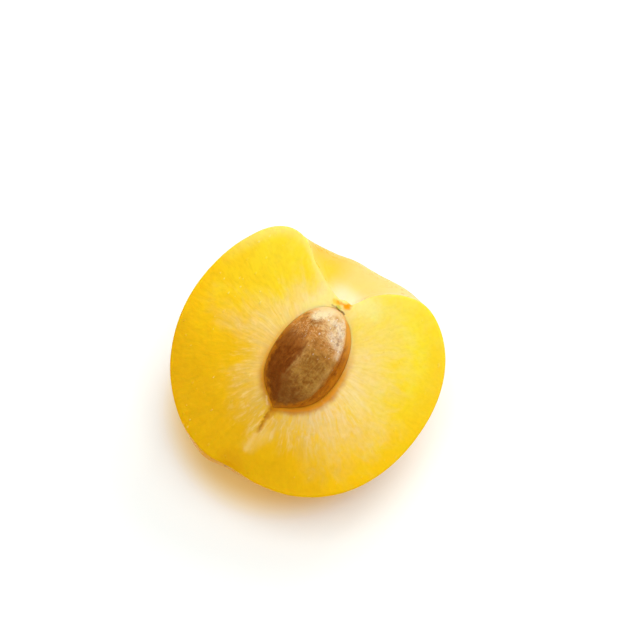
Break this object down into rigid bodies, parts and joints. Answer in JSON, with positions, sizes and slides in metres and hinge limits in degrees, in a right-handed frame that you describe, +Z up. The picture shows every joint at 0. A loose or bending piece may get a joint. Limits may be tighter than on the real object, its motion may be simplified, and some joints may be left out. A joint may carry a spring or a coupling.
{
  "type": "plum half",
  "caption": "Half of a yellow plum lying on its cheek, cut along its seam, with the whole stone sitting in its hollow and half of the stalk cavity.",
  "frame": {"origin": "the middle of the small flat spot on the cheek that the half rests on", "axes": "+Z up, out of the surface that the half lies on; the cut face looks up and leans towards -Y; the stalk end points to +Y and +X"},
  "size_m": [0.0465, 0.0451, 0.0275],
  "materials": {
    "flesh_and_skin": "wet, translucent yellow cut flesh inside a thin, smooth, glossy amber-yellow skin",
    "stone_shell": "rough, fibrous brown shell, damp with juice"
  },
  "bodies": {
    "root": {"fruit_half": "flesh_and_skin", "stone": "stone_shell"}
  },
  "joints": []
}
